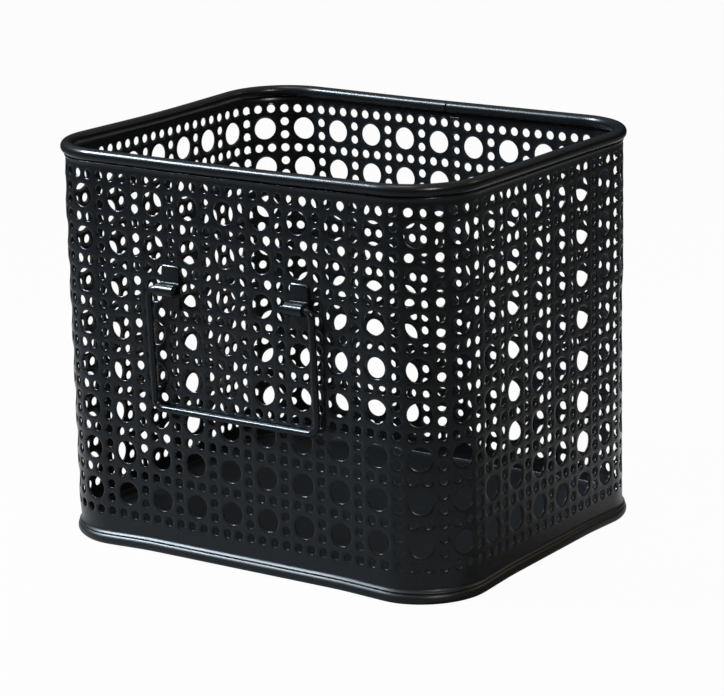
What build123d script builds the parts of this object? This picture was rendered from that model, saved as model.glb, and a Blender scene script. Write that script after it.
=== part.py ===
from build123d import *
import math
import os

# Locker basket in powder-coated sheet steel, in millimetres.
# +Z is up, -Y is the front with the hanging bail, and the origin is on the ground
# midway between the foremost point of the clips and the back of the rolled edge.

# Wall sheet: sizes over the flat of the wall, outside the sheet. Round each corner the sheet bends
# along its lines of small holes, so a corner is a row of narrow flats that touch the named radius.
wall_width = 264.2
wall_depth = 216.2
corner_radius = 38.1
corner_flats = 7
basket_height = 227.4
sheet_thickness = 0.8

# Rolled edges: the sheet is turned outwards round a steel wire, top and bottom
rim_wire_dia = 5.1
base_wire_dia = 4.8
wire_clearance = 0.1
bead_sides = 10
core_sides = 6
bead_stand_in = 0.5

# Shoulder pressed into the sheet beside each rolled edge
shoulder_stand_out = 0.7
shoulder_rise = 2.2
neck_rise = 1.6

# Perforation: a large hole in the middle of each square cell
cell_pitch = 24.0
large_hole_dia = 13.3
large_hole_sides = 8
bottom_band = 20.7
top_band = 14.7
punch_overrun = 1.0

# Lap seam in the back wall
lap_width = 9.0
lap_offset = 5.2

# Floor pan, its flange standing up inside the wall
floor_height = 8.5
pan_thickness = 0.8
flange_height = 7.5
pan_clearance = 0.1

# Bail handle on the front wall
bail_wire_dia = 4.0
bail_wire_sides = 10
bail_width = 108.0
bail_drop = 68.0
bail_bottom_bend = 5.5
bail_top_bend = 4.0
pivot_height = 155.1
pivot_stand_off = 5.2
bail_rest_gap = 0.8

# Strap clips that hold the ends of the bail
clip_spacing = 85.4
clip_width = 11.6
clip_thickness = 1.4
clip_clearance = 0.06
clip_bend = 1.5
clip_upper_reach = 13.1
clip_lower_reach = 12.0
clip_corner = 1.2
clip_seat_gap = 0.05
bail_end_setback = 0.6

# Sizes that follow
sheet_half = sheet_thickness / 2
path_width = wall_width - sheet_thickness
path_depth = wall_depth - sheet_thickness
path_radius = corner_radius - sheet_half
rim_bore_radius = rim_wire_dia / 2 + wire_clearance
base_bore_radius = base_wire_dia / 2 + wire_clearance
rim_bead_radius = rim_bore_radius + sheet_thickness
base_bead_radius = base_bore_radius + sheet_thickness
rim_centre_height = basket_height - rim_bead_radius
base_centre_height = base_bead_radius


def around(height, inside_radius, sides, start, steps):
    """Corners of a few-sided ring section, with its flats at the named radius from the wire."""
    reach = inside_radius / math.cos(math.pi / sides)
    corners = []
    for step in range(abs(steps) + 1):
        turn = math.radians(start + math.copysign(step, steps) * 360 / sides)
        corners.append((reach * math.cos(turn) - bead_stand_in, height + reach * math.sin(turn)))
    return corners


def ring_path(width, depth, radius):
    """The rounded rectangle that the sheet and both edge wires follow, from the front's middle."""
    reach = radius / math.cos(math.pi / 4 / corner_flats)
    middles = [(1, -1, -90), (1, 1, 0), (-1, 1, 90), (-1, -1, 180)]
    points = [(0, -depth / 2)]
    for side_x, side_y, start in middles:
        for flat in range(corner_flats):
            turn = math.radians(start + (flat + 0.5) * 90 / corner_flats)
            x = side_x * (width / 2 - radius) + reach * math.cos(turn)
            y = side_y * (depth / 2 - radius) + reach * math.sin(turn)
            points.append((x, y))
    with BuildLine() as line:
        Polyline(*points, close=True)
    return line.wire()


wall_path = ring_path(path_width, path_depth, path_radius)
section_plane = Plane(origin=(0, -path_depth / 2, 0), x_dir=(0, -1, 0), z_dir=(-1, 0, 0))

# Wall section, x outwards from the middle of the sheet and y up. The sheet leans out to a shoulder,
# draws in to a neck, and rolls outwards round the wire until its raw edge meets the neck.
shell_start = 270 - 180 / bead_sides
core_start = 270 - 180 / core_sides
rim_shell = around(rim_centre_height, rim_bead_radius, bead_sides, shell_start, 1 - bead_sides)
rim_bore = around(rim_centre_height, rim_bore_radius, core_sides, core_start, 1 - core_sides)
base_shell = around(base_centre_height, base_bead_radius, bead_sides, -shell_start, bead_sides - 1)
base_bore = around(base_centre_height, base_bore_radius, core_sides, -core_start, core_sides - 1)
rim_ridge_height = rim_shell[0][1] - neck_rise
base_ridge_height = base_shell[0][1] + neck_rise
flat_top = rim_ridge_height - shoulder_rise
flat_bottom = base_ridge_height + shoulder_rise
wall_section = [
    *rim_shell,
    *reversed(rim_bore),
    (shoulder_stand_out + sheet_half, rim_ridge_height),
    (sheet_half, flat_top),
    (sheet_half, flat_bottom),
    (shoulder_stand_out + sheet_half, base_ridge_height),
    *base_bore,
    *reversed(base_shell),
    (shoulder_stand_out - sheet_half, base_ridge_height),
    (-sheet_half, flat_bottom),
    (-sheet_half, flat_top),
    (shoulder_stand_out - sheet_half, rim_ridge_height),
]

# Perforation grid: whole cells round the wall from the seam, and whole cells up it
columns = round(wall_path.length / cell_pitch)
rows = round((basket_height - bottom_band - top_band) / cell_pitch)
row_pitch = (basket_height - bottom_band - top_band) / rows
seam_share = wall_path.param_at_point((lap_offset, path_depth / 2, 0))
hole_turn = 180 / large_hole_sides
punch_start = sheet_half + sheet_thickness + punch_overrun
punch_depth = punch_start + sheet_half + punch_overrun

with BuildPart() as wall_sheet:
    with BuildSketch(section_plane):
        with BuildLine():
            Polyline(*wall_section, close=True)
        make_face()
    sweep(path=wall_path, transition=Transition.RIGHT)
    # The lap: the sheet's outer end lies over its inner end
    lap_plane = Plane(
        origin=(lap_offset, path_depth / 2 + sheet_half, (flat_bottom + flat_top) / 2),
        x_dir=(-1, 0, 0),
        z_dir=(0, 1, 0),
    )
    with BuildSketch(lap_plane):
        Rectangle(lap_width, flat_top - flat_bottom)
    extrude(amount=sheet_thickness)
    # Large holes, one column of cells after another
    for column in range(columns):
        share = (seam_share + (column + 0.5) / columns) % 1
        along = wall_path.tangent_at(share)
        outwards = along.cross(Vector(0, 0, 1))
        start = wall_path.position_at(share) + outwards * punch_start
        with BuildSketch(Plane(origin=start, x_dir=along, z_dir=outwards)):
            for row in range(rows):
                with Locations((0, bottom_band + (row + 0.5) * row_pitch)):
                    RegularPolygon(large_hole_dia / 2, large_hole_sides, rotation=hole_turn)
    extrude(amount=-punch_depth, mode=Mode.SUBTRACT)
wall_sheet.part.label = "wall_sheet"

# The wires sealed inside the rolled edges
with BuildPart() as rim_wire:
    with BuildSketch(section_plane):
        with Locations((-bead_stand_in, rim_centre_height)):
            RegularPolygon(rim_wire_dia / 2, core_sides)
    sweep(path=wall_path, transition=Transition.RIGHT)
rim_wire.part.label = "rim_wire"

with BuildPart() as base_wire:
    with BuildSketch(section_plane):
        with Locations((-bead_stand_in, base_centre_height)):
            RegularPolygon(base_wire_dia / 2, core_sides)
    sweep(path=wall_path, transition=Transition.RIGHT)
base_wire.part.label = "base_wire"

# Floor pan: a plain raised floor with a flange standing up inside the wall
pan_inset = sheet_half + pan_clearance
pan_width = path_width - 2 * pan_inset
pan_depth = path_depth - 2 * pan_inset
pan_radius = path_radius - pan_inset
with BuildPart() as base_pan:
    with BuildSketch(Plane.XY.offset(floor_height - pan_thickness)):
        RectangleRounded(pan_width, pan_depth, pan_radius)
    extrude(amount=pan_thickness + flange_height)
    with BuildSketch(Plane.XY.offset(floor_height)):
        RectangleRounded(pan_width, pan_depth, pan_radius)
        offset(amount=-pan_thickness, mode=Mode.REPLACE)
    extrude(amount=flange_height, mode=Mode.SUBTRACT)
base_pan.part.label = "base_pan"

# Bail: round wire, both ends turned in along the pivot axis. It hangs leaning in towards the wall.
wall_face = path_depth / 2 + sheet_half
bail_lean = math.asin((pivot_stand_off - bail_wire_dia / 2 - bail_rest_gap) / bail_drop)
pivot_plane = Plane(
    origin=(0, -wall_face - pivot_stand_off, pivot_height),
    x_dir=(1, 0, 0),
    z_dir=(0, -math.cos(bail_lean), -math.sin(bail_lean)),
)
bail_half = bail_width / 2
bail_end = clip_spacing / 2 - clip_width / 2 + bail_end_setback
with BuildPart() as handle_bail:
    with BuildLine(pivot_plane) as bail_line:
        FilletPolyline(
            (-bail_end, 0),
            (-bail_half, 0),
            (-bail_half, -bail_drop),
            (bail_half, -bail_drop),
            (bail_half, 0),
            (bail_end, 0),
            radius=[bail_top_bend, bail_bottom_bend, bail_bottom_bend, bail_top_bend],
        )
    with BuildSketch(Plane(origin=bail_line.wire() @ 0, z_dir=bail_line.wire() % 0)):
        RegularPolygon(bail_wire_dia / 2, bail_wire_sides)
    sweep(path=bail_line.wire())
handle_bail.part.label = "handle_bail"

# Clips: a strap folded over the bail's end, with a tab above and below welded to the wall.
# The section starts at the top of the upper tab, x outwards from the wall and y up from the pivot.
saddle = bail_wire_dia / 2 + clip_clearance
fold = clip_bend + clip_thickness
with BuildSketch() as clip_section:
    with BuildLine() as strap_line:
        upper_tab = Line((clip_seat_gap, clip_upper_reach), (clip_seat_gap, saddle + fold))
        upper_fold = JernArc(upper_tab @ 1, (0, -1), fold, 90)
        upper_arm = Line(upper_fold @ 1, (pivot_stand_off, saddle))
        barrel = JernArc(upper_arm @ 1, (1, 0), saddle, -180)
        lower_arm = Line(barrel @ 1, (clip_seat_gap + fold, -saddle))
        lower_fold = JernArc(lower_arm @ 1, (-1, 0), fold, 90)
        lower_tab = Line(lower_fold @ 1, (clip_seat_gap, -clip_lower_reach))
        offset(amount=clip_thickness, side=Side.LEFT)
    make_face()

clip_nodes = {"left_clip": -1, "right_clip": 1}
clips = {}
for name, side in clip_nodes.items():
    clip_plane = Plane(
        origin=(side * clip_spacing / 2 + clip_width / 2, -wall_face, pivot_height),
        x_dir=(0, -1, 0),
        z_dir=(-1, 0, 0),
    )
    with BuildPart() as clip:
        with BuildSketch(clip_plane):
            add(clip_section.sketch)
        extrude(amount=clip_width)
        tab_corners = clip.edges().filter_by(Axis.Y).group_by(Axis.Z)
        fillet(tab_corners[0] + tab_corners[-1], radius=clip_corner)
    clip.part.label = name
    clips[name] = clip.part

# Everything moves back so that the origin is midway between its front and its back
front_reach = wall_face + pivot_stand_off + saddle + clip_thickness
bead_reach = max(rim_bead_radius, base_bead_radius) / math.cos(math.pi / bead_sides)
back_reach = path_depth / 2 - bead_stand_in + bead_reach
centring = Location((0, (front_reach - back_reach) / 2, 0))

os.makedirs("parts", exist_ok=True)
pieces = [wall_sheet.part, rim_wire.part, base_wire.part, base_pan.part, handle_bail.part]
for piece in pieces + list(clips.values()):
    name = piece.label
    moved_piece = piece.moved(centring)
    moved_piece.label = name
    export_step(moved_piece, f"parts/{name}.step")
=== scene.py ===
import math

import bmesh
import bpy
from mathutils import Matrix, Vector


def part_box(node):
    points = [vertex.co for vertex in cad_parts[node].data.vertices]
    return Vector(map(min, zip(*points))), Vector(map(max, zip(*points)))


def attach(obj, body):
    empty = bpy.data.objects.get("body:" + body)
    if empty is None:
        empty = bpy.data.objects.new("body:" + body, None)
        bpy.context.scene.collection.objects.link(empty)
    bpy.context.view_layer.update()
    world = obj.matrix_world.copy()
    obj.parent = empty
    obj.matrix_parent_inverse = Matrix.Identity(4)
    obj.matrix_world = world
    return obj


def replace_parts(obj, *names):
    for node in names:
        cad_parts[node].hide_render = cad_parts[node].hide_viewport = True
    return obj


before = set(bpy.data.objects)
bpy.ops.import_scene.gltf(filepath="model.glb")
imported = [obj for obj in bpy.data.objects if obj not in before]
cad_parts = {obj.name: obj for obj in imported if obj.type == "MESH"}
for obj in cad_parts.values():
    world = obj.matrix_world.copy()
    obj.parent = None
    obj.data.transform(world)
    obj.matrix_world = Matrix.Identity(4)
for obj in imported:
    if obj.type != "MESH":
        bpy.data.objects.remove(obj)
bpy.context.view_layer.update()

# The middle of the wall lies a little behind the origin, because the handle stands out in front
sheetLow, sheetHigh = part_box("wall_sheet")
middleY = (sheetLow.y + sheetHigh.y) / 2
millimetre = 0.001
# places nearer than these, in millimetres, count as one
closeBy = 0.01
hairline = 0.002
rounding = 1e-9


# the line that the wall follows

wall = {
    "width": 262.0,  # between the middles of the sheet
    "depth": 214.0,
    "cornerRadius": 37.0,
    "sheet": 0.8,
    "land": 1.1,  # outer face of the flat sheet; the hole edges lie behind it, on the line itself
    "seamX": 5.2,  # the lap seam stands this far right of the middle of the back wall
    "bulgeReach": 60.0,
    "bulgeSteepness": 6.0,  # how quickly a bulge begins above the foot and ends under the rim
    # swollen corners: which one round from the seam, middle height, reach up and down, and how far out
    "bulges": [(2, 112, 106, 0.9), (4, 178, 44, 0.7)],
}
straightX = wall["width"] / 2 - wall["cornerRadius"]
straightY = wall["depth"] / 2 - wall["cornerRadius"]
cornerArc = wall["cornerRadius"] * math.pi / 2
wallRuns = [
    straightX + wall["seamX"],
    2 * straightY,
    2 * straightX,
    2 * straightY,
    straightX - wall["seamX"],
]
wallLength = sum(wallRuns) + 4 * cornerArc


def alongWall(distance):
    # place and outward direction on the middle of the sheet, that far from the seam
    distance %= wallLength
    radius = wall["cornerRadius"]
    place = Vector((wall["seamX"], wall["depth"] / 2))
    heading = math.pi
    for run in wallRuns:
        step = min(distance, run)
        place += step * Vector((math.cos(heading), math.sin(heading)))
        distance -= step
        if distance < rounding:
            break
        turn = min(distance, cornerArc) / radius
        centre = place - radius * Vector((math.sin(heading), -math.cos(heading)))
        heading += turn
        place = centre + radius * Vector((math.sin(heading), -math.cos(heading)))
        distance -= turn * radius
        if distance < rounding:
            break
    return place, Vector((math.sin(heading), -math.cos(heading)))


def cornerMiddle(corner):
    return sum(wallRuns[:corner]) + (corner - 0.5) * cornerArc


def smooth(share):
    share = min(max(share, 0), 1)
    return share * share * (3 - 2 * share)


def bulgeAt(distance, height):
    # full in the middle of a swollen corner, and nothing at the rolled edges
    total = 0
    steepness = wall["bulgeSteepness"]
    for corner, middle, reach, amount in wall["bulges"]:
        near = smooth(1 - abs(distance - cornerMiddle(corner)) / wall["bulgeReach"])
        total += amount * near * smooth(steepness * (1 - abs(height - middle) / reach))
    return total


def bendRoundWall(flat):
    # flat sheet to basket: x runs along the wall, y up it and z outwards
    for vert in flat.verts:
        place, outward = alongWall(vert.co.x)
        spot = place + outward * (vert.co.z + bulgeAt(vert.co.x, vert.co.y))
        vert.co = Vector((spot.x, spot.y, vert.co.y))


# shared modelling helpers


def finishPiece(form, name, body, material, sharpAngle=32):
    # millimetres to metres, sharp edges marked, and the piece set on its CAD body
    bmesh.ops.scale(form, vec=(millimetre,) * 3, verts=form.verts)
    bmesh.ops.translate(form, vec=(0, middleY, 0), verts=form.verts)
    bmesh.ops.recalc_face_normals(form, faces=form.faces)
    for face in form.faces:
        face.smooth = True
    for edge in form.edges:
        if len(edge.link_faces) == 2 and edge.calc_face_angle(0) > math.radians(sharpAngle):
            edge.smooth = False
    mesh = bpy.data.meshes.new(name)
    form.to_mesh(mesh)
    form.free()
    mesh.materials.append(material)
    piece = bpy.data.objects.new(name, mesh)
    bpy.context.scene.collection.objects.link(piece)
    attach(piece, body)
    return piece


def growRing(form, edges):
    # a new row of faces from open edges; gives the new verts and edges
    grown = bmesh.ops.extrude_edge_only(form, edges=edges)["geom"]
    verts = [part for part in grown if isinstance(part, bmesh.types.BMVert)]
    newEdges = [part for part in grown if isinstance(part, bmesh.types.BMEdge)]
    loose = [edge for edge in newEdges if len(edge.link_faces) == 1 and edge not in edges]
    return verts, [edge for edge in loose if all(vert in verts for vert in edge.verts)]


def openEdges(form):
    return [edge for edge in form.edges if len(edge.link_faces) == 1]


def sweepLoop(form, edges, moves):
    # carries a closed loop of edges through straight runs and turns, and closes both ends
    bmesh.ops.contextual_create(form, geom=edges)
    loop = edges
    for move in moves:
        verts = list({vert for edge in loop for vert in edge.verts})
        if move[0] == "run":
            newVerts, newEdges = growRing(form, loop)
            bmesh.ops.translate(form, vec=move[1], verts=newVerts)
            loop = newEdges
        else:
            centre, axis, angle, steps = move[1:]
            spun = bmesh.ops.spin(
                form,
                geom=verts + loop,
                cent=centre,
                axis=axis,
                angle=angle,
                steps=steps,
                use_merge=False,
                use_duplicate=False,
            )
            loop = [part for part in spun["geom_last"] if isinstance(part, bmesh.types.BMEdge)]
    bmesh.ops.contextual_create(form, geom=loop)


# finishes


def addNode(tree, kind, place, **settings):
    node = tree.nodes.new(kind)
    node.location = place
    for key, value in settings.items():
        setattr(node, key, value)
    return node


powderCoat = {
    "colour": (0.0042, 0.0056, 0.0072),
    "worn": (0.0058, 0.0074, 0.0090),
    "specular": 0.36,
    "roughness": (0.24, 0.29),
    "peelScale": 1500,
    "peelDepth": 0.000004,
    "cloudScale": 38,
    "scuff": 0.11,  # added to the roughness at the foot, which fades out between these heights
    "scuffHeights": (0.009, 0.014),
}
handleCoat = {
    "colour": (0.0042, 0.0056, 0.0072),
    "worn": (0.0058, 0.0074, 0.0090),
    "specular": 0.38,
    "roughness": (0.22, 0.27),
    "peelScale": 1300,
    "peelDepth": 0.000003,
    "cloudScale": 60,
    "scuff": 0,
}
drawnSteel = {
    "colour": (0.42, 0.42, 0.43),
    "worn": (0.30, 0.29, 0.28),
    "specular": 0.5,
    "roughness": (0.28, 0.4),
    "peelScale": 900,
    "peelDepth": 0.00002,
    "cloudScale": 90,
    "scuff": 0,
}


def scuffFoot(tree, coat, place, gloss):
    # the coat is duller where the basket is pushed about on its rolled edge
    split = addNode(tree, "ShaderNodeSeparateXYZ", (-700, -450))
    scuff = addNode(tree, "ShaderNodeMapRange", (-500, -450), interpolation_type="SMOOTHSTEP")
    scuff.inputs["From Min"].default_value = coat["scuffHeights"][0]
    scuff.inputs["From Max"].default_value = coat["scuffHeights"][1]
    scuff.inputs["To Min"].default_value = coat["scuff"]
    scuff.inputs["To Max"].default_value = 0
    total = addNode(tree, "ShaderNodeMath", (-250, 0), operation="ADD")
    tree.links.new(place, split.inputs[0])
    tree.links.new(split.outputs["Z"], scuff.inputs["Value"])
    tree.links.new(gloss, total.inputs[0])
    tree.links.new(scuff.outputs["Result"], total.inputs[1])
    tree.links.new(total.outputs[0], tree.nodes["Principled BSDF"].inputs["Roughness"])


def coatMaterial(name, coat, metallic=0.0):
    # fine orange peel, and colour and gloss that cloud a little over the surface
    material = bpy.data.materials.new(name)
    material.use_nodes = True
    tree = material.node_tree
    shader = tree.nodes["Principled BSDF"]
    shader.inputs["Metallic"].default_value = metallic
    shader.inputs["IOR"].default_value = 1.5
    shader.inputs["Specular IOR Level"].default_value = coat["specular"]
    place = addNode(tree, "ShaderNodeTexCoord", (-1100, 0))
    cloud = addNode(tree, "ShaderNodeTexNoise", (-850, 200))
    cloud.inputs["Scale"].default_value = coat["cloudScale"]
    cloud.inputs["Detail"].default_value = 4
    peel = addNode(tree, "ShaderNodeTexNoise", (-850, -200))
    peel.inputs["Scale"].default_value = coat["peelScale"]
    peel.inputs["Detail"].default_value = 1.5
    tint = addNode(tree, "ShaderNodeMix", (-500, 300), data_type="RGBA")
    tint.inputs["A"].default_value = (*coat["colour"], 1)
    tint.inputs["B"].default_value = (*coat["worn"], 1)
    gloss = addNode(tree, "ShaderNodeMapRange", (-500, 50))
    gloss.inputs["From Min"].default_value = 0.3
    gloss.inputs["From Max"].default_value = 0.7
    gloss.inputs["To Min"].default_value = coat["roughness"][0]
    gloss.inputs["To Max"].default_value = coat["roughness"][1]
    bump = addNode(tree, "ShaderNodeBump", (-500, -200))
    bump.inputs["Strength"].default_value = 0.5
    bump.inputs["Distance"].default_value = coat["peelDepth"]
    link = tree.links.new
    link(place.outputs["Object"], cloud.inputs["Vector"])
    link(place.outputs["Object"], peel.inputs["Vector"])
    link(cloud.outputs["Fac"], tint.inputs["Factor"])
    link(cloud.outputs["Fac"], gloss.inputs["Value"])
    link(peel.outputs["Fac"], bump.inputs["Height"])
    link(tint.outputs["Result"], shader.inputs["Base Color"])
    link(gloss.outputs["Result"], shader.inputs["Roughness"])
    link(bump.outputs["Normal"], shader.inputs["Normal"])
    if coat["scuff"]:
        scuffFoot(tree, coat, place.outputs["Object"], gloss.outputs["Result"])
    return material


sheetMaterial = coatMaterial("blackPowderCoat", powderCoat)
handleMaterial = coatMaterial("glossHandleCoat", handleCoat)
steelMaterial = coatMaterial("drawnSteelWire", drawnSteel, metallic=1.0)
print("finishes made")


# camera, as the photograph is taken

view = {
    "azimuth": 34.5032,  # degrees round from the front
    "elevation": 14.9799,
    "roll": -1.29797,
    "distance": 1.75376,
    "target": (0.00882, 0.0, 0.10310),
    "lens": 154.163,
    "sensorWidth": 36,
    "farthest": 20,
}


def placeCamera():
    turn, lift, roll = (math.radians(view[key]) for key in ("azimuth", "elevation", "roll"))
    level = Vector((math.cos(turn), math.sin(turn), 0))
    back = Vector(
        (math.sin(turn) * math.cos(lift), -math.cos(turn) * math.cos(lift), math.sin(lift))
    )
    upright = back.cross(level)
    right = level * math.cos(roll) + upright * math.sin(roll)
    up = upright * math.cos(roll) - level * math.sin(roll)
    lensData = bpy.data.cameras.new("photoCamera")
    lensData.lens = view["lens"]
    lensData.sensor_width = view["sensorWidth"]
    lensData.clip_end = view["farthest"]
    camera = bpy.data.objects.new("photoCamera", lensData)
    bpy.context.scene.collection.objects.link(camera)
    spot = Vector(view["target"]) + Vector((0, middleY, 0)) + back * view["distance"]
    camera.matrix_world = Matrix.Translation(spot) @ Matrix((right, up, back)).transposed().to_4x4()
    bpy.context.scene.camera = camera


placeCamera()


# perforated sheet with rolled edges

punching = {
    "columns": 37,  # whole cells round the wall
    "rows": 8,
    "cellHeight": 24.0,
    "lines": 3,  # lines of small holes to a cell
    "edgeSteps": 9,  # steps of the rolled edges to a cell
    "bottomRow": 20.7,  # height of the lowest line of small holes
    "smallRadius": 2.46,
    "largeRadius": 6.5,
    "smallSides": 12,
    "largeSides": 24,
    # the sheet dips towards every hole: steps out from the hole's edge, and back from the outer face
    "dish": [(1.32, 0.0), (0.72, -0.1), (0.28, -0.25), (0.0, -0.48)],
    "backEdge": (0.2, -1.22),
    "skew": -1.1,  # the sheet's rows drop this much once round the wall
    "pieces": {
        "perforatedSheetRear": (0, 12),
        "perforatedSheetFront": (12, 26),
        "perforatedSheetRight": (26, 37),
    },
}
cellWidth = wallLength / punching["columns"]
smallPitchX = cellWidth / punching["lines"]
smallPitchY = punching["cellHeight"] / punching["lines"]
linesUp = punching["lines"] * punching["rows"] + 1
tileBottom = punching["bottomRow"] - smallPitchY / 2
tileTop = tileBottom + linesUp * smallPitchY

rim = {
    "centreOut": 0.2,
    "centreHeight": 223.35,
    "radius": 3.45,
    # rise of the rim at the seam, then at each corner and the middle of each wall, and the seam again
    "rises": [-0.35, 0.58, -0.5, 0.5, 0.0, 0.58, 0.2, -0.25, -0.35],
    "riseFade": 4.0,  # the rise comes in over this height
    "jointColumn": 3,  # the line of points across the roll that becomes its butt joint
    "jointAt": 4.9,  # how far along the wall from the seam the joint lies
    "jointHalf": 0.5,
    "jointDepth": 0.78,
    "jointSkin": 0.2,  # how near the outside of the roll a point lies that the joint takes in
    "jointFoot": 219.6,
    "wireRadius": 2.5,
    "stripStart": 216.2,
    "rawEdge": -72,
    "outerSide": [
        (1.10, 216.2),
        (1.10, 217.5),
        (1.18, 218.0),
        (1.40, 218.5),
        (1.62, 218.9),
        (1.75, 219.2),
        (1.72, 219.42),
        (1.58, 219.62),
        (1.30, 219.8),
        (0.90, 220.0),
        (0.55, 220.35),
    ],
    "innerSide": [
        (-0.15, 219.95),
        (0.25, 219.85),
        (0.62, 219.7),
        (0.86, 219.4),
        (0.78, 219.1),
        (0.58, 218.6),
        (0.38, 218.1),
        (0.30, 217.5),
        (0.30, 216.2),
    ],
}
base = {
    "centreOut": 0.1,
    "centreHeight": 3.37,
    "radius": 3.35,
    "straightRise": 1.3,
    "standingHalf": 18.0,  # half the length that stands on the ground at a corner
    "riseLength": 46.0,
    "riseFade": 8.0,  # the rise comes in over this height
    "wireRadius": 2.45,
    "stripStart": 16.0,
    "rawEdge": 52,
    "outerSide": [
        (1.10, 16.0),
        (1.10, 11.5),
        (1.12, 9.7),
        (1.20, 8.8),
        (1.42, 8.1),
        (1.85, 7.55),
        (2.35, 7.05),
        (2.60, 6.7),
        (2.55, 6.42),
        (2.05, 6.3),
    ],
    "innerSide": [
        (-0.42, 7.0),
        (0.10, 7.15),
        (0.75, 7.35),
        (1.15, 7.65),
        (0.95, 8.1),
        (0.60, 8.7),
        (0.36, 9.7),
        (0.30, 11.5),
        (0.30, 16.0),
    ],
}


def rimLift(distance, height):
    middles = [cornerMiddle(corner) for corner in (1, 2, 3, 4)]
    stops = [0]
    for first, last in zip(middles, middles[1:]):
        stops += [first, (first + last) / 2]
    stops += [middles[-1], wallLength]
    rise = rim["rises"][-1]
    for step in range(len(stops) - 1):
        if stops[step] <= distance <= stops[step + 1]:
            share = smooth((distance - stops[step]) / (stops[step + 1] - stops[step]))
            rise = rim["rises"][step] + share * (rim["rises"][step + 1] - rim["rises"][step])
    return rise * min(max((height - rim["stripStart"]) / rim["riseFade"], 0), 1)


def baseLift(distance, height):
    # the basket stands on its corners, and the rolled edge rises smoothly along the straight walls
    gaps = [abs(distance % wallLength - cornerMiddle(corner)) for corner in (1, 2, 3, 4)]
    nearest = min(min(gap, wallLength - gap) for gap in gaps)
    away = smooth((nearest - base["standingHalf"]) / base["riseLength"])
    share = min(max((base["stripStart"] - height) / base["riseFade"], 0), 1)
    return share * base["straightRise"] * away


# angles at which the section of a roll starts inside and ends outside, and its steps
roll = {"start": -95, "end": -110, "innerSteps": 12, "outerSteps": 22}


def curlProfile(edge, side):
    # the sheet's section from its outer face, round inside the curl, over the raw edge and back outside
    centre = Vector((edge["centreOut"], edge["centreHeight"]))
    rawEdge = edge["rawEdge"] * side - 360
    profile = [Vector(point) for point in edge["outerSide"]]
    for radius, first, last, steps in (
        (edge["radius"] - wall["sheet"], roll["start"], rawEdge, roll["innerSteps"]),
        (edge["radius"], rawEdge, roll["end"], roll["outerSteps"]),
    ):
        for step in range(steps + 1):
            angle = math.radians(first + (last - first) * step / steps)
            profile.append(centre + radius * Vector((math.cos(angle), side * math.sin(angle))))
    return profile + [Vector(point) for point in edge["innerSide"]]


def toSquare(verts, halfX, halfY, sides):
    # spreads a ring evenly along the sides of a rectangle
    for vert in verts:
        turn = math.atan2(vert.co.y, vert.co.x) / math.tau - 1 / 8
        side, step = divmod(round(turn * sides) % sides, sides // 4)
        spot = Vector((1 - 2 * step / (sides // 4), 1))
        spot.rotate(Matrix.Rotation(side * math.pi / 2, 2))
        vert.co = Vector((spot.x * halfX, spot.y * halfY, vert.co.z))


def setRing(verts, radius, height):
    for vert in verts:
        spot = vert.co.xy.normalized() * radius
        vert.co = Vector((spot.x, spot.y, height))


def holeTile(radius, sides, halfX, halfY, dish, backEdge):
    # a rectangle of sheet with one round hole: outer face, dished edge, cut edge and inner face
    outer, inner = wall["land"], wall["land"] - wall["sheet"]
    reach = radius + dish[0][0]
    tile = bmesh.new()
    start = Matrix.Translation((0, 0, outer)) @ Matrix.Rotation(math.pi / 4, 4, "Z")
    bmesh.ops.create_circle(tile, segments=sides, radius=reach, matrix=start)
    edges = tile.edges[:]
    toSquare(growRing(tile, edges)[0], halfX, halfY, sides)
    rings = [(radius + stepOut, outer + rise) for stepOut, rise in [*dish[1:], backEdge]]
    for ringRadius, height in [*rings, (reach, inner)]:
        verts, edges = growRing(tile, edges)
        setRing(verts, ringRadius, height)
    verts, edges = growRing(tile, edges)
    toSquare(verts, halfX, halfY, sides)
    tileMesh = bpy.data.meshes.new("holeTile")
    tile.to_mesh(tileMesh)
    tile.free()
    return tileMesh


def stamp(form, mesh, shift):
    # one more copy of a small mesh, moved into place
    known = len(form.verts)
    form.from_mesh(mesh)
    form.verts.ensure_lookup_table()
    bmesh.ops.translate(form, vec=shift, verts=form.verts[known:])


def cellColumn():
    # one column of cells: three lines of small holes and the large holes between them
    edge = (punching["dish"], punching["backEdge"])
    halfX, halfY = smallPitchX / 2, smallPitchY / 2
    small = holeTile(punching["smallRadius"], punching["smallSides"], halfX, halfY, *edge)
    large = holeTile(punching["largeRadius"], punching["largeSides"], 2 * halfX, 2 * halfY, *edge)
    column = bmesh.new()
    for line in range(linesUp):
        height = punching["bottomRow"] + line * smallPitchY
        for across in range(punching["lines"]):
            if across == 0 or line % punching["lines"] == 0:
                stamp(column, small, (across * smallPitchX, height, 0))
    for row in range(punching["rows"]):
        height = punching["bottomRow"] + (row + 0.5) * punching["cellHeight"]
        stamp(column, large, (cellWidth / 2, height, 0))
    bmesh.ops.remove_doubles(column, verts=column.verts, dist=hairline)
    columnMesh = bpy.data.meshes.new("cellColumn")
    column.to_mesh(columnMesh)
    column.free()
    return columnMesh


def addStrip(form, profile, firstX, stepX, steps, lift):
    # a band of sheet whose section is the profile, laid along the flat sheet
    known = len(form.verts)
    bmesh.ops.create_grid(form, x_segments=steps, y_segments=len(profile) - 1, size=1)
    form.verts.ensure_lookup_table()
    for vert in form.verts[known:]:
        distance = firstX + stepX * round((vert.co.x + 1) / 2 * steps)
        point = profile[round((vert.co.y + 1) / 2 * (len(profile) - 1))]
        vert.co = Vector((distance, point.y + lift(distance, point.y), point.x))


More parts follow.
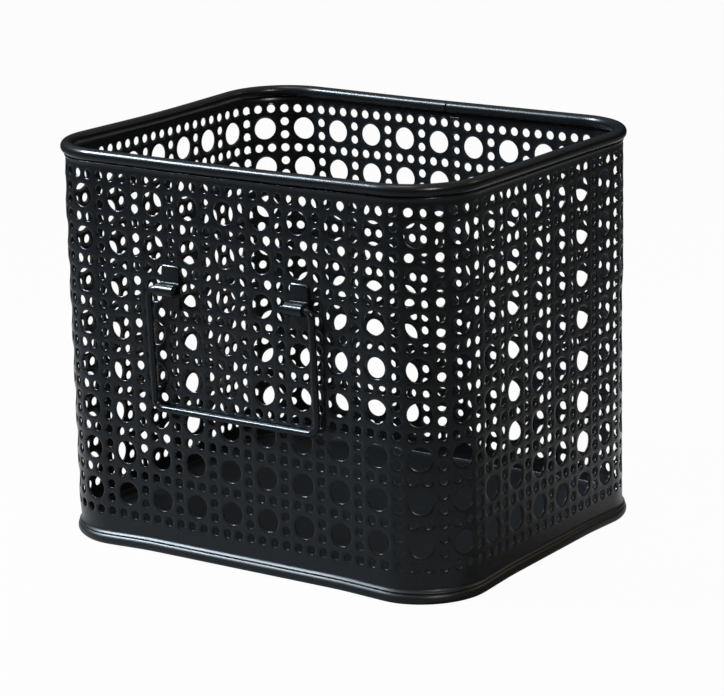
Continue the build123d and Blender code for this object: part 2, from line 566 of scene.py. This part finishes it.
def notchRim(sheet, firstX):
    # the groove across the rolled edge, where the ends of the sheet meet
    step = cellWidth / punching["edgeSteps"]
    line = firstX + rim["jointColumn"] * step
    centre = Vector((rim["centreOut"], rim["centreHeight"] + rim["rises"][0]))
    for vert in sheet.verts:
        offset = vert.co.x - line
        if vert.co.y > rim["jointFoot"] and abs(offset) < step + closeBy:
            spot = Vector((vert.co.z, vert.co.y)) - centre
            vert.co.x = rim["jointAt"]
            if abs(offset) > closeBy:
                vert.co.x += math.copysign(rim["jointHalf"], offset)
            elif spot.length > rim["radius"] - rim["jointSkin"]:
                spot = centre + spot * (1 - rim["jointDepth"] / spot.length)
                vert.co.z, vert.co.y = spot


def makeSheetPiece(name, firstColumn, lastColumn, columnMesh):
    sheet = bmesh.new()
    for column in range(firstColumn, lastColumn):
        stamp(sheet, columnMesh, (column * cellWidth, 0, 0))
    for vert in sheet.verts:
        if vert.co.y > tileTop - closeBy:
            vert.co.y = rim["stripStart"]
        elif vert.co.y < tileBottom + closeBy:
            vert.co.y = base["stripStart"]
        else:
            vert.co.y += punching["skew"] * (vert.co.x / wallLength - 0.5)
    steps = punching["edgeSteps"] * (lastColumn - firstColumn)
    stepX = cellWidth / punching["edgeSteps"]
    firstX = firstColumn * cellWidth - smallPitchX / 2
    addStrip(sheet, curlProfile(rim, 1), firstX, stepX, steps, rimLift)
    if firstColumn == 0:
        notchRim(sheet, firstX)
    addStrip(sheet, curlProfile(base, -1), firstX, stepX, steps, baseLift)
    bmesh.ops.remove_doubles(sheet, verts=sheet.verts, dist=closeBy)
    edges = openEdges(sheet)
    for endX in (firstX, firstX + steps * stepX):
        end = [
            edge for edge in edges if all(abs(vert.co.x - endX) < closeBy for vert in edge.verts)
        ]
        bmesh.ops.triangle_fill(sheet, use_beauty=True, use_dissolve=False, edges=end)
    bendRoundWall(sheet)
    print(name, "open edges", len(openEdges(sheet)), "faces", len(sheet.faces))
    piece = finishPiece(sheet, name, "basket", sheetMaterial, sharpAngle=55)
    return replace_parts(piece, "wall_sheet")


columnMesh = cellColumn()
for name, columns in punching["pieces"].items():
    makeSheetPiece(name, *columns, columnMesh)
print("perforated sheet made")


# lap seam in the back wall

lap = {
    "width": 9.0,
    "gap": 0.03,
    "holeRadius": 2.05,  # the outer end's holes are smaller and don't quite meet the inner end's
    "holeShift": 0.25,
    "holeDrop": -0.25,
    "dish": [(1.0, 0.0), (0.0, -0.1)],  # its holes are plain, with hardly any dip
    "backEdge": (0.0, -0.7),
    "reachBelow": 3.0,  # over the plain bands below and above the holes
    "reachAbove": 1.0,
    "creaseSize": (6.0, 1.8, 1.1),  # a pinch in the inner end under the rim
    "creaseSpot": (0.35, 216.45),
    "creaseSides": 16,
}


def makeLap():
    half = lap["width"] / 2
    edge = (lap["dish"], lap["backEdge"])
    small = holeTile(lap["holeRadius"], punching["smallSides"], half, smallPitchY / 2, *edge)
    strip = bmesh.new()
    for line in range(linesUp):
        stamp(strip, small, (0, punching["bottomRow"] + line * smallPitchY, 0))
    bmesh.ops.remove_doubles(strip, verts=strip.verts, dist=hairline)
    low = base["stripStart"] - lap["reachBelow"]
    high = rim["stripStart"] + lap["reachAbove"]
    for vert in strip.verts:
        if vert.co.y > tileTop - closeBy:
            vert.co.y = high
        elif vert.co.y < tileBottom + closeBy:
            vert.co.y = low
        else:
            vert.co.y += punching["skew"] * -0.5 + lap["holeDrop"]
        if abs(vert.co.x) < half - closeBy:
            vert.co.x += lap["holeShift"]
    edges = openEdges(strip)
    middle = wall["land"] - wall["sheet"] / 2
    outerEdges = [edge for edge in edges if all(vert.co.z > middle for vert in edge.verts)]
    innerEdges = [edge for edge in edges if all(vert.co.z < middle for vert in edge.verts)]
    bmesh.ops.bridge_loops(strip, edges=outerEdges + innerEdges)
    bmesh.ops.translate(strip, vec=(0, 0, wall["sheet"] + lap["gap"]), verts=strip.verts)
    bendRoundWall(strip)
    piece = finishPiece(strip, "lapStrip", "basket", sheetMaterial)
    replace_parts(piece, "wall_sheet")


def makeCrease():
    along, height = lap["creaseSpot"]
    inside = wall["land"] - wall["sheet"]
    crease = bmesh.new()
    place = Matrix.Translation((along, height, inside)) @ Matrix.Diagonal((*lap["creaseSize"], 1))
    bmesh.ops.create_cone(
        crease,
        cap_ends=True,
        segments=lap["creaseSides"],
        radius1=0.5,
        radius2=0.5,
        depth=1,
        matrix=place @ Matrix.Rotation(math.pi / 2, 4, "Y"),
    )
    bendRoundWall(crease)
    piece = finishPiece(crease, "seamCrease", "basket", sheetMaterial)
    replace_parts(piece, "wall_sheet")


makeLap()
makeCrease()


# wires inside the rolled edges


edgeWire = {"sides": 12, "steps": 111}


def makeEdgeWire(name, edge, lift, node):
    sides, steps = edgeWire["sides"], edgeWire["steps"]
    profile = []
    for step in range(sides + 1):
        angle = math.tau * step / sides
        spot = Vector((math.cos(angle), math.sin(angle))) * edge["wireRadius"]
        profile.append(Vector((edge["centreOut"], edge["centreHeight"])) + spot)
    wire = bmesh.new()
    middle = edge["centreHeight"]
    addStrip(
        wire,
        profile,
        0,
        wallLength / steps,
        steps,
        lambda distance, height: lift(distance, middle),
    )
    bendRoundWall(wire)
    bmesh.ops.remove_doubles(wire, verts=wire.verts, dist=closeBy)
    piece = finishPiece(wire, name, "basket", steelMaterial, sharpAngle=50)
    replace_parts(piece, node)


makeEdgeWire("rimWire", rim, rimLift, "rim_wire")
makeEdgeWire("baseWire", base, baseLift, "base_wire")


# floor pan

pan = {
    "floor": 8.5,
    "sheet": 0.8,
    "flangeTop": 16.0,
    "clearance": 0.12,
    "bend": 1.6,
    "bendSteps": 5,
    "bandWidth": 4.0,  # the flat floor is one face inside a band of this width
    "steps": 222,
}


def makePan():
    outer = wall["land"] - wall["sheet"] - pan["clearance"]
    under = pan["floor"] - pan["sheet"]
    inner = outer - pan["sheet"]
    bend = pan["bend"]
    corner = Vector((outer - bend, under + bend))
    inmost = outer - pan["bandWidth"]
    profile = [Vector((inmost, under))]
    turns = range(pan["bendSteps"] + 1)
    arcs = [math.radians(90 * turn / pan["bendSteps"] - 90) for turn in turns]
    for angle in arcs:
        profile.append(corner + bend * Vector((math.cos(angle), math.sin(angle))))
    profile += [Vector((outer, pan["flangeTop"])), Vector((inner, pan["flangeTop"]))]
    for angle in reversed(arcs):
        inside = bend - pan["sheet"]
        profile.append(corner + inside * Vector((math.cos(angle), math.sin(angle))))
    profile.append(Vector((inmost, pan["floor"])))
    floor = bmesh.new()
    steps = pan["steps"]
    addStrip(floor, profile, 0, wallLength / steps, steps, lambda distance, height: 0)
    bendRoundWall(floor)
    bmesh.ops.remove_doubles(floor, verts=floor.verts, dist=closeBy)
    edges = openEdges(floor)
    for height in (under, pan["floor"]):
        ring = [edge for edge in edges if abs(edge.verts[0].co.z - height) < closeBy]
        bmesh.ops.contextual_create(floor, geom=ring)
    piece = finishPiece(floor, "floorPan", "basket", sheetMaterial)
    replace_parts(piece, "base_pan")


makePan()
print("wires and floor made")


# bail and its clips

wallFront = -(wall["depth"] / 2 + wall["land"])
bail = {
    "radius": 1.98,
    "sides": 20,
    "middleX": 0.9,  # the handle is welded on a little right of the middle of the wall
    "halfWidth": 54.0,
    "pivotHeight": 155.1,
    "standOff": 5.2,
    "restGap": 0.8,
    "drop": 68.0,
    "topBend": 4.0,
    "bottomBend": 5.5,
    "endX": 37.5,
    "bendSteps": 10,
}
clip = {
    "middleX": 42.7,
    "shift": 0.65,  # both clips are welded on this much further right than the bail's middle
    "width": 11.6,
    "strap": 1.4,
    "saddle": 2.06,
    "bend": 0.4,
    "upperReach": 13.1,
    "lowerReach": 12.0,
    "seat": 0.05,
    "foldSteps": 8,
    "saddleSteps": 16,
    "tabCorner": 1.2,
    "cornerSegments": 5,
    "sharp": 55,  # edges that turn more than this are rounded
    "edgeRound": 0.28,
    "edgeSegments": 2,
    "topRound": 1.0,
    "topSegments": 7,
    "topStretch": 1.7,  # the rounded top edge runs this much further down the tab
}


def makeBail():
    pivot = Vector((bail["middleX"], wallFront - bail["standOff"], bail["pivotHeight"]))
    handle = bmesh.new()
    start = Matrix.Translation(pivot + Vector((-bail["endX"], 0, 0)))
    bmesh.ops.create_circle(
        handle,
        segments=bail["sides"],
        radius=bail["radius"],
        matrix=start @ Matrix.Rotation(math.pi / 2, 4, "Y"),
    )
    half, top, low = bail["halfWidth"], bail["topBend"], bail["bottomBend"]
    steps = bail["bendSteps"]
    across = (0, 1, 0)
    turns = [
        pivot + Vector((top - half, 0, -top)),
        pivot + Vector((low - half, 0, low - bail["drop"])),
        pivot + Vector((half - low, 0, low - bail["drop"])),
        pivot + Vector((half - top, 0, -top)),
    ]
    moves = [
        ("run", (bail["endX"] - half + top, 0, 0)),
        ("turn", turns[0], across, -math.pi / 2, steps),
        ("run", (0, 0, top + low - bail["drop"])),
        ("turn", turns[1], across, -math.pi / 2, steps),
        ("run", (2 * (half - low), 0, 0)),
        ("turn", turns[2], across, -math.pi / 2, steps),
        ("run", (0, 0, bail["drop"] - top - low)),
        ("turn", turns[3], across, -math.pi / 2, steps),
        ("run", (bail["endX"] - half + top, 0, 0)),
    ]
    sweepLoop(handle, handle.edges[:], moves)
    bmesh.ops.remove_doubles(handle, verts=handle.verts, dist=hairline)
    # it hangs leaning in, until its lower bar is close to the wall
    lean = math.asin((bail["standOff"] - bail["radius"] - bail["restGap"]) / bail["drop"])
    bmesh.ops.rotate(handle, cent=pivot, matrix=Matrix.Rotation(lean, 3, "X"), verts=handle.verts)
    piece = finishPiece(handle, "bailHandle", "bail", handleMaterial)
    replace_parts(piece, "handle_bail")


def makeClip(name, side, node):
    pivotOut, pivotUp = bail["standOff"], bail["pivotHeight"]
    strap = bmesh.new()

    def at(out, up):
        across = bail["middleX"] + clip["shift"] + side * clip["middleX"]
        return Vector((across, wallFront - out, pivotUp + up))

    thick, seat = clip["strap"], clip["seat"]
    bmesh.ops.create_grid(
        strap,
        x_segments=1,
        y_segments=1,
        size=0.5,
        matrix=Matrix.Translation(at(seat + thick / 2, clip["upperReach"]))
        @ Matrix.Diagonal((clip["width"], thick, 1, 1)),
    )
    edges = strap.edges[:]
    bmesh.ops.delete(strap, geom=strap.faces[:], context="FACES_ONLY")
    fold = clip["bend"] + thick
    foldOut = seat + fold
    arm = pivotOut - foldOut
    across = (1, 0, 0)
    moves = [
        ("run", (0, 0, clip["saddle"] + fold - clip["upperReach"])),
        ("turn", at(foldOut, clip["saddle"] + fold), across, -math.pi / 2, clip["foldSteps"]),
        ("run", (0, -arm, 0)),
        ("turn", at(pivotOut, 0), across, math.pi, clip["saddleSteps"]),
        ("run", (0, arm, 0)),
        ("turn", at(foldOut, -clip["saddle"] - fold), across, -math.pi / 2, clip["foldSteps"]),
        ("run", (0, 0, clip["saddle"] + fold - clip["lowerReach"])),
    ]
    sweepLoop(strap, edges, moves)
    bmesh.ops.recalc_face_normals(strap, faces=strap.faces)
    ends = [at(0, clip["upperReach"]).z, at(0, -clip["lowerReach"]).z]
    corners = [
        edge
        for edge in strap.edges
        if abs(edge.verts[0].co.x - edge.verts[1].co.x) < hairline
        and any(all(abs(vert.co.z - end) < hairline for vert in edge.verts) for end in ends)
    ]
    bmesh.ops.bevel(
        strap,
        geom=corners,
        offset=clip["tabCorner"],
        segments=clip["cornerSegments"],
        profile=0.5,
        affect="EDGES",
        material=-1,
    )
    face, top = at(seat + thick, 0).y, ends[0] - clip["tabCorner"] - closeBy
    rounded = [
        edge
        for edge in strap.edges
        if all(abs(vert.co.y - face) < hairline and vert.co.z > top for vert in edge.verts)
        and edge.calc_face_angle(0) > 1
    ]
    bmesh.ops.bevel(
        strap,
        geom=rounded,
        offset=clip["topRound"],
        segments=clip["topSegments"],
        profile=0.5,
        affect="EDGES",
        material=-1,
        clamp_overlap=True,
    )
    for vert in strap.verts:
        below = ends[0] - vert.co.z
        if below < clip["tabCorner"] + closeBy:
            vert.co.z = ends[0] - clip["topStretch"] * below
    sharp = [edge for edge in strap.edges if edge.calc_face_angle(0) > math.radians(clip["sharp"])]
    bmesh.ops.bevel(
        strap,
        geom=sharp,
        offset=clip["edgeRound"],
        segments=clip["edgeSegments"],
        profile=0.5,
        affect="EDGES",
        material=-1,
        clamp_overlap=True,
    )
    piece = finishPiece(strap, name, "basket", handleMaterial, sharpAngle=14)
    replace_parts(piece, node)


makeBail()
makeClip("clipLeft", -1, "left_clip")
makeClip("clipRight", 1, "right_clip")
print("handle made")


# floor, light and background

studio = {
    "floorColour": (0.19, 0.19, 0.19),
    "floorSize": 8.0,
    "floorRoughness": 0.9,
    "floorWhite": 0.975,  # share of the floor in the picture that is seen as plain white
    "whiteHalfWidth": (0.14, 0.2),  # reflected white ends between these shares of the camera's distance
    "whiteNear": (-0.1, 0.14),  # and between these distances on the camera's side of the basket
    "whiteFar": (0.55, 0.85),  # and behind it
    "worldLevel": (0.008, 0.32),  # at the horizon and overhead
    "worldRise": (0.1, 0.9),  # it grows between these heights of the sky
}


def fade(tree, value, start, end, place):
    # 0 at the start, 1 at the end, smoothly between
    ramp = addNode(tree, "ShaderNodeMapRange", place, interpolation_type="SMOOTHSTEP")
    ramp.inputs["From Min"].default_value = start
    ramp.inputs["From Max"].default_value = end
    tree.links.new(value, ramp.inputs["Value"])
    return ramp.outputs["Result"]


def whiteArea(tree):
    # 1 on the part of the floor that lies in the picture, fading to 0 round it
    place = addNode(tree, "ShaderNodeTexCoord", (-1700, 300))
    turned = addNode(tree, "ShaderNodeMapping", (-1500, 300))
    turned.inputs["Rotation"].default_value = (0, 0, -math.radians(view["azimuth"]))
    split = addNode(tree, "ShaderNodeSeparateXYZ", (-1300, 300))
    aside = addNode(tree, "ShaderNodeMath", (-1100, 350), operation="ABSOLUTE")
    away = addNode(tree, "ShaderNodeMath", (-1100, 150), operation="ADD")
    away.inputs[1].default_value = view["distance"]
    share = addNode(tree, "ShaderNodeMath", (-900, 350), operation="DIVIDE")
    depth = addNode(tree, "ShaderNodeMath", (-500, 100), operation="MULTIPLY")
    both = addNode(tree, "ShaderNodeMath", (-500, 300), operation="MULTIPLY")
    link = tree.links.new
    link(place.outputs["Object"], turned.inputs["Vector"])
    link(turned.outputs["Vector"], split.inputs[0])
    link(split.outputs["X"], aside.inputs[0])
    link(split.outputs["Y"], away.inputs[0])
    link(aside.outputs[0], share.inputs[0])
    link(away.outputs[0], share.inputs[1])
    inner, outer = studio["whiteHalfWidth"]
    near, far = studio["whiteNear"]
    behind, gone = studio["whiteFar"]
    link(fade(tree, split.outputs["Y"], near, far, (-700, 100)), depth.inputs[0])
    link(fade(tree, split.outputs["Y"], gone, behind, (-700, -150)), depth.inputs[1])
    link(fade(tree, share.outputs[0], outer, inner, (-700, 350)), both.inputs[0])
    link(depth.outputs[0], both.inputs[1])
    return both.outputs[0]


def whiteShare(tree):
    # all that the camera sees, and the part in the picture for reflections and clear things
    path = addNode(tree, "ShaderNodeLightPath", (-700, 800))
    bent = addNode(tree, "ShaderNodeMath", (-500, 700), operation="MAXIMUM")
    area = addNode(tree, "ShaderNodeMath", (-300, 600), operation="MULTIPLY")
    seen = addNode(tree, "ShaderNodeMath", (-100, 700), operation="MAXIMUM")
    link = tree.links.new
    link(path.outputs["Is Glossy Ray"], bent.inputs[0])
    link(path.outputs["Is Transmission Ray"], bent.inputs[1])
    link(bent.outputs[0], area.inputs[0])
    link(whiteArea(tree), area.inputs[1])
    link(path.outputs["Is Camera Ray"], seen.inputs[0])
    link(area.outputs[0], seen.inputs[1])
    return seen.outputs[0]


def makeFloor():
    ground = bmesh.new()
    bmesh.ops.create_grid(ground, x_segments=1, y_segments=1, size=studio["floorSize"] / 2)
    mesh = bpy.data.meshes.new("studioFloor")
    ground.to_mesh(mesh)
    ground.free()
    material = bpy.data.materials.new("studioWhite")
    material.use_nodes = True
    tree = material.node_tree
    shader = tree.nodes["Principled BSDF"]
    shader.inputs["Base Color"].default_value = (*studio["floorColour"], 1)
    shader.inputs["Roughness"].default_value = studio["floorRoughness"]
    white = addNode(tree, "ShaderNodeEmission", (0, 300))
    white.inputs["Strength"].default_value = 1
    level = addNode(tree, "ShaderNodeMath", (100, 500), operation="MULTIPLY")
    level.inputs[1].default_value = studio["floorWhite"]
    mix = addNode(tree, "ShaderNodeMixShader", (300, 200))
    output = tree.nodes["Material Output"]
    link = tree.links.new
    link(whiteShare(tree), level.inputs[0])
    link(level.outputs[0], mix.inputs["Fac"])
    link(shader.outputs[0], mix.inputs[1])
    link(white.outputs[0], mix.inputs[2])
    link(mix.outputs[0], output.inputs["Surface"])
    mesh.materials.append(material)
    ground = bpy.data.objects.new("studioFloor", mesh)
    bpy.context.scene.collection.objects.link(ground)


def makeLamp(name, spot, target, size, spread, power, colour):
    lampData = bpy.data.lights.new(name, "AREA")
    lampData.shape = "SQUARE"
    lampData.size = size
    lampData.spread = math.radians(spread)
    lampData.energy = power
    lampData.color = colour
    lamp = bpy.data.objects.new(name, lampData)
    bpy.context.scene.collection.objects.link(lamp)
    lamp.location = spot
    aim = Vector(target) - Vector(spot)
    lamp.rotation_euler = aim.to_track_quat("-Z", "Y").to_euler()


lamps = {
    "windowSoftbox": {
        "spot": (-1.35, -0.82, 1.46),
        "target": (-0.1, -0.12, 0.12),
        "size": 0.46,
        "spread": 50,
        "power": 7.7,
        "colour": (0.76, 0.89, 1.0),
    },
    "overheadSoftbox": {
        "spot": (-0.3, -0.4, 2.0),
        "target": (-0.2, -0.35, 0),
        "size": 0.8,
        "spread": 60,
        "power": 1.3,
        "colour": (1.0, 1.0, 1.0),
    },
    "warmFloorLamp": {
        "spot": (1.5, 1.7, 1.5),
        "target": (0.7, 0.8, 0),
        "size": 0.6,
        "spread": 60,
        "power": 1.0,
        "colour": (1.0, 0.74, 0.46),
    },
    "warmFillLamp": {
        "spot": (1.5, -1.0, 1.25),
        "target": (0, 0, 0.1),
        "size": 0.4,
        "spread": 40,
        "power": 0.9,
        "colour": (1.0, 0.88, 0.72),
    },
}


def makeWorld():
    # plain soft light from above, dim round the horizon
    world = bpy.data.worlds.new("studioWorld")
    bpy.context.scene.world = world
    world.use_nodes = True
    tree = world.node_tree
    background = tree.nodes["Background"]
    background.inputs["Color"].default_value = (1, 1, 1, 1)
    place = addNode(tree, "ShaderNodeTexCoord", (-900, 0))
    split = addNode(tree, "ShaderNodeSeparateXYZ", (-700, 0))
    level = addNode(tree, "ShaderNodeMapRange", (-400, 0), interpolation_type="SMOOTHSTEP")
    level.inputs["From Min"].default_value = studio["worldRise"][0]
    level.inputs["From Max"].default_value = studio["worldRise"][1]
    level.inputs["To Min"].default_value = studio["worldLevel"][0]
    level.inputs["To Max"].default_value = studio["worldLevel"][1]
    tree.links.new(place.outputs["Generated"], split.inputs[0])
    tree.links.new(split.outputs["Z"], level.inputs["Value"])
    tree.links.new(level.outputs["Result"], background.inputs["Strength"])


makeFloor()
for name, lamp in lamps.items():
    makeLamp(name, **lamp)
makeWorld()
bpy.context.scene.view_settings.view_transform = "Standard"
print("studio made")
